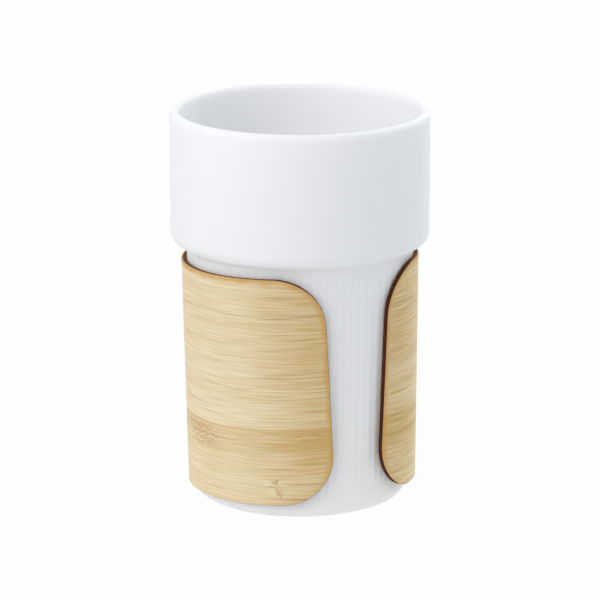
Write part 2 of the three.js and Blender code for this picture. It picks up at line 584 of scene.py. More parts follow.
@dataclass(frozen=True)
class BambooVeneer:
    """A bamboo veneer with its cut edges browned. Lengths on the strip in millimetres."""

    name: str
    pale: Colour
    deep: Colour
    roughness: float
    seed: float
    gloss: float = 0.3
    streaks: float = 1.0
    vein: Colour = srgb(158, 118, 62)
    olive: Colour = (0.98, 1.004, 0.965, 1.0)
    rosy: Colour = (1.03, 0.99, 1.04, 1.0)
    scorch: Colour = srgb(212, 160, 80)
    toast: Colour = srgb(112, 74, 50)
    burnt: Colour = srgb(80, 39, 25)
    scorch_reach: float = 1.8
    faint_below: float = 16.0
    burnt_rim: float = 0.16
    burnt_from: float = 76.0
    burnt_to: float = 93.0
    char_roughness: float = 0.4
    # Where the tone starts and finishes deepening towards the free ends, in millimetres along the strip from
    # its middle.
    endward_from: float = 66.0
    endward_to: float = 98.0
    slat_height: float = 18.0
    slat_start: float = 6.2
    dark_slat: float = 0.0
    fibre_depth: float = 0.012 * MM
    fibre_strength: float = 0.6
    knuckles: tuple[Knuckle, ...] = ()

    def build(self, effects: SharedEffects) -> bpy.types.Material:
        """Makes the veneer's material.

        Args:
            effects: The shared shader groups.

        Returns:
            The material.
        """
        material, maker, surface = new_material(self.name)
        strip = maker.add("ShaderNodeUVMap", uv_map=STRIP_MAP).outputs[0]
        distance = maker.add("ShaderNodeAttribute", attribute_name=EDGE_DISTANCE).outputs["Fac"]
        values = {
            "Strip": strip,
            "Pale": self.pale,
            "Deep": self.deep,
            "Vein": self.vein,
            "Olive": self.olive,
            "Rosy": self.rosy,
            "Streaks": self.streaks,
            "Seed": self.seed,
            "Endward From": self.endward_from,
            "Endward To": self.endward_to,
            "Slat Height": self.slat_height,
            "Slat Start": self.slat_start,
            "Dark Slat": self.dark_slat,
            "Roughness": self.roughness,
        }
        grain = maker.add("ShaderNodeGroup", node_tree=effects.grain)
        maker.feed_all(grain, values)
        colour = grain.outputs["Color"]
        for knuckle in self.knuckles:
            colour = self.marked(maker, strip, colour, knuckle)
        values = {
            "Distance": distance,
            "Strip": strip,
            "Base": colour,
            "Scorch": self.scorch,
            "Toast": self.toast,
            "Burnt": self.burnt,
            "Burnt From": self.burnt_from,
            "Burnt To": self.burnt_to,
            "Reach": self.scorch_reach,
            "Rim": self.burnt_rim,
            "Faint Below": self.faint_below,
        }
        scorch = maker.add("ShaderNodeGroup", node_tree=effects.scorch)
        maker.feed_all(scorch, values)
        maker.feed(surface.inputs["Base Color"], scorch.outputs["Color"])
        char = scorch.outputs["Char"]
        rough = maker.math("MULTIPLY_ADD", char, self.char_roughness, grain.outputs["Roughness"])
        maker.feed(surface.inputs["Roughness"], rough)
        surface.inputs["Specular IOR Level"].default_value = self.gloss
        feeds = {
            "Strength": self.fibre_strength,
            "Distance": self.fibre_depth,
            "Height": grain.outputs["Height"],
        }
        maker.feed(surface.inputs["Normal"], maker.add("ShaderNodeBump", feeds).outputs[0])
        return material

    def marked(self, maker: TreeMaker, strip: Socket, colour: Socket, knuckle: Knuckle) -> Socket:
        """Draws one growth node over the grain.

        Args:
            maker: The material's maker.
            strip: The place on the flat strip.
            colour: The grain's colour.
            knuckle: The growth node.

        Returns:
            The colour with short dark flecks, or one soft stroke, in the node's patch.
        """
        centre = (knuckle.along * MM, knuckle.up * MM, 0.0)
        reach = (1.0 / (knuckle.half_width * MM), 1.0 / (knuckle.half_height * MM), 0.0)
        away = maker.vector("SUBTRACT", strip, centre)
        lean = maker.math("MULTIPLY", maker.parts(away)[1], knuckle.slant)
        away = maker.vector("SUBTRACT", away, maker.joined(lean))
        off = maker.length(maker.vector("MULTIPLY", away, reach))
        patch = maker.math("MULTIPLY", maker.smooth(off, 1.0, knuckle.solid_share), knuckle.strength)
        if knuckle.flecked:
            per_metre = (1.0 / (knuckle.fleck_length * MM), 1.0 / (knuckle.fleck_width * MM), 1.0)
            flecks = maker.noise(maker.vector("MULTIPLY", strip, per_metre), knuckle.fleck_octaves)
            patch = maker.math("MULTIPLY", patch, maker.smooth(flecks, *knuckle.fleck_band))
        return maker.mix(patch, colour, knuckle.colour)


class Section:
    """A half section in the making: radius and height in millimetres, and how deep the flutes are there."""

    def __init__(self) -> None:
        """Starts with no points."""
        self.points: list[tuple[float, float, float]] = []

    def to(self, radius: float, height: float, flute: float = 0.0) -> None:
        """Adds one point."""
        self.points.append((radius, height, flute))

    def arc(self, centre: tuple[float, float], radius: float, start: float, end: float, steps: int) -> None:
        """Adds an arc, both ends included.

        Args:
            centre: The arc's centre.
            radius: Its radius.
            start: The angle where it starts, in radians.
            end: The angle where it ends.
            steps: How many chords it has.
        """
        for angle in np.linspace(start, end, steps + 1):
            self.to(centre[0] + radius * math.cos(angle), centre[1] + radius * math.sin(angle))

    def bend(self, corner: tuple[float, float], end: tuple[float, float], steps: int) -> None:
        """Rounds a corner from the last point, by a curve that starts and ends along the corner's two sides.

        Args:
            corner: The sharp corner that is rounded.
            end: Where the curve ends.
            steps: How many chords it has.
        """
        start, turn, stop = (np.array(point) for point in (self.points[-1][:2], corner, end))
        for share in np.linspace(0, 1, steps + 1)[1:]:
            left = 1 - share
            near = left**2 * start + 2 * share * left * turn + share**2 * stop
            self.to(float(near[0]), float(near[1]))


def scene_object(name: str, data: bpy.types.ID) -> bpy.types.Object:
    """Puts a mesh, a camera or a lamp into the scene as an object at the origin.

    Args:
        name: The object's name.
        data: What it shows.

    Returns:
        The object.
    """
    made = bpy.data.objects.new(name, data)
    bpy.context.scene.collection.objects.link(made)
    return made


def made_solid(piece: bpy.types.Object, tree: bpy.types.GeometryNodeTree, inputs: dict[str, Any]) -> None:
    """Runs a geometry tree on a piece and keeps the result as the piece's plain mesh.

    Args:
        piece: The object, whose mesh is the tree's input.
        tree: The geometry tree.
        inputs: Socket identifier to value.
    """
    modifier = piece.modifiers.new(tree.name, "NODES")
    modifier.node_group = tree
    for identifier, value in inputs.items():
        modifier[identifier] = value
    depsgraph = bpy.context.evaluated_depsgraph_get()
    solid = bpy.data.meshes.new_from_object(
        piece.evaluated_get(depsgraph), preserve_all_data_layers=True, depsgraph=depsgraph
    )
    piece.modifiers.clear()
    start = piece.data
    piece.data = solid
    bpy.data.meshes.remove(start)
    solid.name = piece.name
    if solid.materials[0] is None:
        solid.materials.pop(index=0)


def eased(share: float) -> float:
    """A share from 0 to 1 that leaves 0 and reaches 1 gently."""
    return share * share * (3 - 2 * share)


@dataclass(frozen=True)
class CupSteps:
    """How many chords the curves and walls of the cup's half section have."""

    recess: int = 4
    ring: int = 3
    base: int = 12
    foot_fade: int = 8
    body: int = 11
    top_fade: int = 7
    neck: int = 6
    collar: int = 14
    lip: int = 24
    straight: int = 5
    inner_hollow: int = 10
    inner_edge: int = 9
    floor: int = 12


@dataclass
class PorcelainCup:
    """The cup: a collar over a fluted, tapering body, turned from its half section. Sizes in millimetres."""

    height: float
    collar_radius: float
    collar_height: float = 41.75
    collar_overhang: float = 4.95
    collar_rounding: float = 4.25
    body_taper: float = 2.05
    neck_fillet: float = 1.3
    collar_wall: float = 2.8
    lip_width: float = 3.0
    lip_crest: float = 1.7
    lip_drop: float = 2.2
    body_wall: float = 3.2
    inner_rounding: float = 4.0
    inner_edge: float = 2.0
    floor_thickness: float = 4.5
    floor_rounding: float = 8.0
    base_rounding: float = 3.5
    foot_ring_width: float = 3.2
    foot_recess: float = 1.2
    foot_recess_lean: float = 0.6
    foot_edge: float = 0.5
    flutes: int = 80
    flute_depth: float = 0.2
    flute_top_fade: float = 1.4
    flute_foot_fade: float = 6.0
    samples_per_flute: int = 8
    steps: CupSteps = CupSteps()
    node: str = "porcelain_cup"
    slot: str = "glazed_porcelain"

    def __post_init__(self) -> None:
        """Works out where the collar's underside meets the body."""
        self.neck_height = self.height - self.collar_height
        self.neck_radius = self.collar_radius - self.collar_overhang

    def body_radius(self, height: float) -> float:
        """The body's radius at a height, over the crests between the flutes."""
        return self.neck_radius - self.body_taper * (1.0 - height / self.neck_height)

    def half_section(self) -> Section:
        """The cup's half section, from the underside's middle, up the outside and down the inside.

        Returns:
            The section.
        """
        section = Section()
        self.add_foot(section)
        self.add_fluted_wall(section)
        self.add_collar(section)
        self.add_lip(section)
        self.add_inside(section)
        return section

    def add_foot(self, section: Section) -> None:
        """Adds the recessed underside, the foot ring and the rounded base.

        Args:
            section: The section in the making.
        """
        outer = self.body_radius(0.0) - self.base_rounding
        inner = outer - self.foot_ring_width
        recess, edge = self.foot_recess, self.foot_edge
        section.to(0.0, recess)
        section.to(inner * 0.5, recess)
        section.to(inner - recess - edge, recess)
        lean_end = (inner - recess * self.foot_recess_lean, edge)
        section.bend((inner - recess, recess), lean_end, self.steps.recess)
        section.to(inner - edge * 0.5, edge * 0.25)
        section.bend((inner, 0.0), (inner + edge, 0.0), self.steps.ring)
        section.arc((outer, self.base_rounding), self.base_rounding, -QUARTER_TURN, 0.0, self.steps.base)

    def add_fluted_wall(self, section: Section) -> None:
        """Adds the body's wall, with the flutes fading in at the foot and out at the neck.

        Args:
            section: The section in the making.
        """
        foot = self.base_rounding
        top = self.neck_height - self.neck_fillet
        full_from, full_to = foot + self.flute_foot_fade, top - self.flute_top_fade
        heights = [
            *np.linspace(foot, full_from, self.steps.foot_fade + 1)[1:],
            *np.linspace(full_from, full_to, self.steps.body + 1)[1:-1],
            *np.linspace(full_to, top, self.steps.top_fade + 1)[:-1],
        ]
        for height in heights:
            low = eased(min(1.0, (height - foot) / self.flute_foot_fade))
            high = eased(min(1.0, (top - height) / self.flute_top_fade))
            section.to(self.body_radius(height), height, low * high)

    def add_collar(self, section: Section) -> None:
        """Adds the hollow at the neck, the collar's round underside and its wall.

        Args:
            section: The section in the making.
        """
        fillet, rounding = self.neck_fillet, self.collar_rounding
        hollow = (self.neck_radius + fillet, self.neck_height - fillet)
        section.arc(hollow, fillet, math.pi, QUARTER_TURN, self.steps.neck)
        centre = (self.collar_radius - rounding, self.neck_height + rounding)
        section.arc(centre, rounding, -QUARTER_TURN, 0.0, self.steps.collar)
        for height in np.linspace(centre[1], self.height - self.lip_drop, self.steps.straight + 1)[1:-1]:
            section.to(self.collar_radius, float(height))

    def add_lip(self, section: Section) -> None:
        """Adds the soft lip, whose crest lies nearer the inside, so that it is rounded more outside.

        Args:
            section: The section in the making.
        """
        crest = self.collar_radius - self.lip_crest
        low = self.height - self.lip_drop
        for angle in np.linspace(0.0, math.pi, self.steps.lip + 1):
            half = self.lip_crest if angle < QUARTER_TURN else self.lip_width - self.lip_crest
            section.to(crest + half * math.cos(angle), low + self.lip_drop * math.sin(angle))

    def add_inside(self, section: Section) -> None:
        """Adds the inner wall, the step under the collar, the well and the floor.

        Args:
            section: The section in the making.
        """
        inner = self.collar_radius - self.collar_wall
        step = self.neck_height + self.collar_wall
        arc_height = step + self.inner_rounding
        rim = (self.collar_radius - self.lip_width, self.height - self.lip_drop)
        for radius, height in np.linspace(rim, (inner, arc_height), self.steps.straight + 1)[1:-1]:
            section.to(float(radius), float(height))
        hollow = (inner - self.inner_rounding, arc_height)
        section.arc(hollow, self.inner_rounding, 0.0, -QUARTER_TURN, self.steps.inner_hollow)
        below = step - self.inner_edge
        edge = (self.neck_radius - self.body_wall, step)
        section.bend(edge, (self.body_radius(below) - self.body_wall, below), self.steps.inner_edge)
        floor_arc = self.floor_thickness + self.floor_rounding
        for height in np.linspace(below, floor_arc, self.steps.straight + 1)[1:-1]:
            section.to(self.body_radius(height) - self.body_wall, float(height))
        middle = self.body_radius(floor_arc) - self.body_wall - self.floor_rounding
        section.arc((middle, floor_arc), self.floor_rounding, 0.0, -QUARTER_TURN, self.steps.floor)
        section.to(middle * 0.5, self.floor_thickness)
        section.to(0.0, self.floor_thickness)

    def section_mesh(self) -> bpy.types.Mesh:
        """The half section as a bare line of points in metres, with the flutes' depth on each.

        Returns:
            The mesh.
        """
        points = self.half_section().points
        mesh = bpy.data.meshes.new("cup_section")
        places = [(radius * MM, 0.0, height * MM) for radius, height, _ in points]
        mesh.from_pydata(places, [(i, i + 1) for i in range(len(places) - 1)], [])
        depth = mesh.attributes.new(FLUTE_SHARE, "FLOAT", "POINT")
        depth.data.foreach_set("value", [flute for _, _, flute in points])
        return mesh

    @staticmethod
    def turning_tree() -> tuple[bpy.types.GeometryNodeTree, dict[str, str]]:
        """The rule of the cup: its section turned round the axis, pressed in along evenly spaced flutes.

        Returns:
            The geometry tree, and its input names with their identifiers.
        """
        maker = TreeMaker(bpy.data.node_groups.new("turned_and_fluted", "GeometryNodeTree"))
        maker.socket("Geometry", "Geometry", out=True)
        maker.socket("Section", "Geometry")
        names = {
            "Meridians": maker.socket("Meridians", "Int", 320),
            "Flutes": maker.socket("Flutes", "Int", 40),
            "Flute Depth": maker.socket("Flute Depth", "Float", 0.0),
            "Material": maker.socket("Material", "Material"),
        }
        given = maker.add("NodeGroupInput").outputs
        rows = maker.add("GeometryNodeAttributeDomainSize", {0: given["Section"]}).outputs["Point Count"]
        columns = maker.math("ADD", given["Meridians"], 1.0)
        feeds = {"Size X": 1.0, "Size Y": 1.0, "Vertices X": columns, "Vertices Y": rows}
        sheet = maker.add("GeometryNodeMeshGrid", feeds).outputs["Mesh"]
        place = maker.add("GeometryNodeInputPosition").outputs[0]
        flat = maker.parts(place)
        last = maker.math("SUBTRACT", rows, 1.0)
        step = maker.math("MULTIPLY", maker.math("ADD", flat[1], 0.5), last)
        index = maker.add("FunctionNodeFloatToInt", {0: step}, rounding_mode="ROUND").outputs[0]

        def sampled(kind: str, value: Socket) -> Socket:
            """A value of the section at this row."""
            feeds = {"Geometry": given["Section"], "Value": value, "Index": index}
            return maker.add("GeometryNodeSampleIndex", feeds, data_type=kind, domain="POINT").outputs[0]

        point = maker.parts(sampled("FLOAT_VECTOR", place))
        named = maker.add("GeometryNodeInputNamedAttribute", {"Name": FLUTE_SHARE}, data_type="FLOAT")
        flute = sampled("FLOAT", named.outputs[0])
        turn = maker.math("MULTIPLY", maker.math("ADD", flat[0], 0.5), 2 * math.pi)
        wave = maker.math("COSINE", maker.math("MULTIPLY", turn, given["Flutes"]))
        valley = maker.math("MULTIPLY", maker.math("MULTIPLY_ADD", wave, -0.5, 0.5), flute)
        reach = maker.math("SUBTRACT", point[0], maker.math("MULTIPLY", valley, given["Flute Depth"]))
        turned = maker.joined(
            maker.math("MULTIPLY", reach, maker.math("COSINE", turn)),
            maker.math("MULTIPLY", reach, maker.math("SINE", turn)),
            point[2],
        )
        pooled = maker.add(
            "GeometryNodeStoreNamedAttribute",
            {"Geometry": sheet, "Name": GLAZE_POOL, "Value": valley},
            data_type="FLOAT",
            domain="POINT",
        )
        moved = maker.add("GeometryNodeSetPosition", {"Geometry": pooled.outputs[0], "Position": turned})
        feeds = {"Geometry": moved.outputs[0], "Distance": MERGE_DISTANCE}
        closed = maker.add("GeometryNodeMergeByDistance", feeds)
        finish_tree(maker, closed.outputs[0], given["Material"])
        return maker.tree, names

    def build(self, glaze: bpy.types.Material) -> bpy.types.Object:
        """Makes the cup and puts it in its solid's place.

        Args:
            glaze: The porcelain's material.

        Returns:
            The cup.
        """
        cup = scene_object("porcelain_mug_cup", self.section_mesh())
        tree, names = self.turning_tree()
        inputs = {
            names["Meridians"]: self.flutes * self.samples_per_flute,
            names["Flutes"]: self.flutes,
            names["Flute Depth"]: self.flute_depth * MM,
            names["Material"]: glaze,
        }
        made_solid(cup, tree, inputs)
        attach(cup, Body.CUP.value)
        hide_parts(self.node)
        return cup


def finish_tree(maker: TreeMaker, geometry: Socket, material: Socket) -> None:
    """Ends a geometry tree: smooth shading, instances made real, the material set, and the result put out.

    Args:
        maker: The tree's maker.
        geometry: The finished geometry.
        material: The tree's material input.
    """
    smooth = maker.add("GeometryNodeSetShadeSmooth", {"Geometry": geometry, "Shade Smooth": True})
    real = maker.add("GeometryNodeRealizeInstances", {0: smooth.outputs[0]})
    dressed = maker.add("GeometryNodeSetMaterial", {"Geometry": real.outputs[0], "Material": material})
    maker.add("NodeGroupOutput", {0: dressed.outputs[0]})


@dataclass
class BambooSleeve:
    """The sleeve: a straight three-ply strip with round corners, bent round the cup's body. Millimetres."""

    cup: PorcelainCup
    back_veneer: float = 0.4
    core_veneer: float = 0.45
    face_veneer: float = 0.45
    glue_line: float = 0.1
    top_gap: float = 5.0
    foot_gap: float = 3.5
    opening: float = 18.7
    corner_radius: float = 15.3
    clearance: float = 0.25
    edge_rounding: float = 0.07
    lean_deg: float = 0.52
    lean_bearing_deg: float = -22.0
    corner_steps: int = 26
    middle_steps: int = 132
    edge_steps: int = 3
    row_places: tuple[float, ...] = (0.0, 0.25, 0.6, 1.1, 1.8, 2.8, 4.2, 6.2, 9.0, 13.0, 18.0, 24.0, 30.0)

    def __post_init__(self) -> None:
        """Works out the cone that the inner face lies on, with distances from its apex."""
        self.top = self.cup.neck_height - self.top_gap
        self.height = self.top - self.foot_gap
        self.lean = math.radians(self.lean_deg)
        top_radius = self.cup.body_radius(self.top) + self.clearance
        sway = self.height * math.sin(self.lean)
        foot_radius = self.cup.body_radius(self.foot_gap) + self.clearance + sway
        self.slope = math.atan2(top_radius - foot_radius, self.height)
        self.foot_distance = foot_radius / math.sin(self.slope)
        middle = self.foot_distance + self.height / 2
        bearing = math.pi - self.opening / 2 / (middle * math.sin(self.slope))
        self.half_length = middle * math.tan(bearing * math.sin(self.slope))

    def ply_faces(self, ply: Ply) -> tuple[float, float]:
        """How far a ply's inner and outer faces lie from the sleeve's inner face.

        Args:
            ply: Which ply.

        Returns:
            The two distances.
        """
        core = self.back_veneer + self.glue_line
        face = core + self.core_veneer + self.glue_line
        return {
            Ply.BACK: (0.0, self.back_veneer),
            Ply.CORE: (core, core + self.core_veneer),
            Ply.FACE: (face, face + self.face_veneer),
        }[ply]

    def columns(self, inset: float) -> list[tuple[float, float]]:
        """Columns across the flat strip, from one free edge to the other.

        Args:
            inset: How far inside the strip's outline they end.

        Returns:
            For each column its place along the strip, and how far the round corners cut it short.
        """
        radius = self.corner_radius - inset
        half = self.half_length - inset
        turns = np.linspace(0.0, QUARTER_TURN, self.corner_steps + 1)
        corner = [(half - radius * (1 - math.cos(t)), radius * (1 - math.sin(t))) for t in turns]
        straight = half - radius
        middle = [(float(x), 0.0) for x in np.linspace(-straight, straight, self.middle_steps + 1)[1:-1]]
        return [(-x, cut) for x, cut in corner] + middle + corner[::-1]

    def row_shares(self) -> np.ndarray:
        """Rows up a column, as shares of its height, close together near both edges."""
        low = np.array(self.row_places) / self.height
        return np.concatenate([low, [0.5], 1.0 - low[::-1]])

    def edge_distance(self, along: np.ndarray, up: np.ndarray) -> np.ndarray:
        """How far points of the flat strip lie inside its outline.

        Args:
            along: Their places along the strip, from its middle.
            up: Their heights above its foot.

        Returns:
            The distances, in millimetres.
        """
        radius = self.corner_radius
        across = np.abs(along) - (self.half_length - radius)
        over = np.abs(up - self.height / 2) - (self.height / 2 - radius)
        outside = np.hypot(np.maximum(across, 0.0), np.maximum(over, 0.0))
        return radius - outside - np.minimum(np.maximum(across, over), 0.0)

    def outline_normals(self, points: np.ndarray) -> np.ndarray:
        """The outward directions at points of the strip's outline, in the flat.

        Args:
            points: The points, along and up.

        Returns:
            One direction for each.
        """
        radius = self.corner_radius
        centre = np.stack(
            [
                np.clip(points[:, 0], -self.half_length + radius, self.half_length - radius),
                np.clip(points[:, 1], radius, self.height - radius),
            ],
            axis=1,
        )
        away = points - centre
        return away / np.linalg.norm(away, axis=1, keepdims=True)

    def edge_profile(self, ply: Ply) -> list[tuple[float, float]]:
        """A ply's rounded edge, from its inner face to its outer one.

        Args:
            ply: Which ply.

        Returns:
            For each row of the edge how far it lies inside the strip's outline, and its depth.
        """
        inner, outer = self.ply_faces(ply)
        soft = self.edge_rounding
        turns = np.linspace(0.0, QUARTER_TURN, self.edge_steps + 1)
        lower = [(soft * (1 - math.sin(t)), inner + soft * (1 - math.cos(t))) for t in turns[1:]]
        upper = [(soft * (1 - math.cos(t)), outer - soft * (1 - math.sin(t))) for t in turns[:-1]]
        return lower + upper

    def board_mesh(self, ply: Ply) -> bpy.types.Mesh:
        """One ply before it is bent: a flat board with softly rounded edges. x along, y up, z out, in metres.

        Args:
            ply: Which ply.

        Returns:
            The mesh, with its strip map and its distances from the cut edge.
        """
        soft = self.edge_rounding
        columns = self.columns(soft)
        shares = self.row_shares()
        full = self.height - 2 * soft
        grid = np.array([[(x, soft + cut + s * (full - 2 * cut)) for s in shares] for x, cut in columns])
        flat = grid.reshape(-1, 2)
        number = np.arange(len(flat)).reshape(len(columns), len(shares))
        loop = np.concatenate([number[:, 0], number[-1, 1:], number[-2::-1, -1], number[0, -2:0:-1]])
        normals = self.outline_normals(flat[loop])
        profile = self.edge_profile(ply)

        def layer(points: np.ndarray, depth: float) -> np.ndarray:
            """Points of the flat strip at a depth."""
            return np.column_stack([points, np.full(len(points), depth)])

        layers = [layer(flat, depth) for depth in self.ply_faces(ply)]
        layers += [layer(flat[loop] + normals * (soft - inset), depth) for inset, depth in profile]
        corners = [number[:-1, :-1], number[1:, :-1], number[1:, 1:], number[:-1, 1:]]
        face = np.stack(corners, axis=-1).reshape(-1, 4)
        faces = [face[:, ::-1], face + len(flat)]
        first = 2 * len(flat)
        rings = [first + i * len(loop) + np.arange(len(loop)) for i in range(len(profile))]
        chain = [loop, *rings, loop + len(flat)]
        for below, above in zip(chain[:-1], chain[1:]):
            faces.append(np.stack([below, np.roll(below, -1), np.roll(above, -1), above], axis=-1))
        return self.mapped_mesh(ply.node, np.concatenate(layers), np.concatenate(faces))

    def mapped_mesh(self, name: str, places: np.ndarray, faces: np.ndarray) -> bpy.types.Mesh:
        """A flat board's mesh with the maps that its finish reads.

        Args:
            name: The mesh's name.
            places: Its points, in millimetres.
            faces: Its four-sided faces.

        Returns:
            The mesh, in metres.
        """
        mesh = bpy.data.meshes.new(name + "_board")
        mesh.from_pydata((places * MM).tolist(), [], faces.tolist())
        distance = mesh.attributes.new(EDGE_DISTANCE, "FLOAT", "POINT")
        distance.data.foreach_set("value", np.maximum(0.0, self.edge_distance(places[:, 0], places[:, 1])))
        strip = mesh.uv_layers.new(name=STRIP_MAP)
        corners = np.empty(len(mesh.loops), np.int32)
        mesh.loops.foreach_get("vertex_index", corners)
        strip.data.foreach_set("uv", (places[corners, :2] * MM).ravel())
        return mesh

    @staticmethod
    def bending_tree() -> tuple[bpy.types.GeometryNodeTree, dict[str, str]]:
        """The rule of the sleeve: a flat board rolled onto a cone without stretching, then hung askew.

        Returns:
            The geometry tree, and its input names with their identifiers.
        """
        maker = TreeMaker(bpy.data.node_groups.new("rolled_onto_cone", "GeometryNodeTree"))
        maker.socket("Geometry", "Geometry", out=True)
        maker.socket("Board", "Geometry")
        labels = ("Foot Distance", "Slope", "Height", "Top", "Lean")
        names = {label: maker.socket(label, "Float", 0.0) for label in labels}
        names["Lean Line"] = maker.socket("Lean Line", "Vector")
        names["Material"] = maker.socket("Material", "Material")
        given = maker.add("NodeGroupInput").outputs
        board = maker.parts(maker.add("GeometryNodeInputPosition").outputs[0])
        sine = maker.math("SINE", given["Slope"])
        cosine = maker.math("COSINE", given["Slope"])
        middle = maker.math("ADD", given["Foot Distance"], board[1])
        squares = maker.math("MULTIPLY_ADD", board[0], board[0], maker.math("MULTIPLY", middle, middle))
        reach = maker.math("SQRT", squares)
        bearing = maker.math("DIVIDE", maker.math("ARCTAN2", board[0], middle), sine)
        radius = maker.math("MULTIPLY_ADD", board[2], cosine, maker.math("MULTIPLY", reach, sine))
        climb = maker.math("MULTIPLY", maker.math("SUBTRACT", reach, given["Foot Distance"]), cosine)
        rise = maker.math("SUBTRACT", climb, maker.math("MULTIPLY", board[2], sine))
        rolled = maker.joined(
            maker.math("MULTIPLY", maker.math("MULTIPLY", radius, -1.0), maker.math("SINE", bearing)),
            maker.math("MULTIPLY", radius, maker.math("COSINE", bearing)),
            maker.math("SUBTRACT", rise, given["Height"]),
        )
        hung = maker.add(
            "ShaderNodeVectorRotate",
            {"Vector": rolled, "Axis": given["Lean Line"], "Angle": given["Lean"]},
            rotation_type="AXIS_ANGLE",
        )
        placed = maker.vector("ADD", hung.outputs[0], maker.joined(z=given["Top"]))
        moved = maker.add("GeometryNodeSetPosition", {"Geometry": given["Board"], "Position": placed})
        finish_tree(maker, moved.outputs[0], given["Material"])
        return maker.tree, names

    def build(self, finishes: dict[Ply, bpy.types.Material]) -> list[bpy.types.Object]:
        """Makes the three plies and puts them in their solids' places.

        Args:
            finishes: Each ply's material.

        Returns:
            The plies.
        """
        tree, names = self.bending_tree()
        bearing = math.radians(self.lean_bearing_deg)
        made = []
        for ply, finish in finishes.items():
            veneer = scene_object(ply.node + "_strip", self.board_mesh(ply))
            inputs = {
                names["Foot Distance"]: self.foot_distance * MM,
                names["Slope"]: self.slope,
                names["Height"]: self.height * MM,
                names["Top"]: self.top * MM,
                names["Lean"]: self.lean,
                names["Lean Line"]: (math.sin(bearing), -math.cos(bearing), 0.0),
                names["Material"]: finish,
            }
            made_solid(veneer, tree, inputs)
            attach(veneer, Body.SLEEVE.value)
            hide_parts(ply.node)
            made.append(veneer)
        return made


@dataclass(frozen=True)
class Lamp:
    """A soft box, placed round the mug by bearing and height angle. Metres and degrees."""

    name: str
    bearing: float
    rise: float
    watts: float
    tint: Tint
    distance: float = 1.4
    width: float = 1.2
    tall: float = 1.2


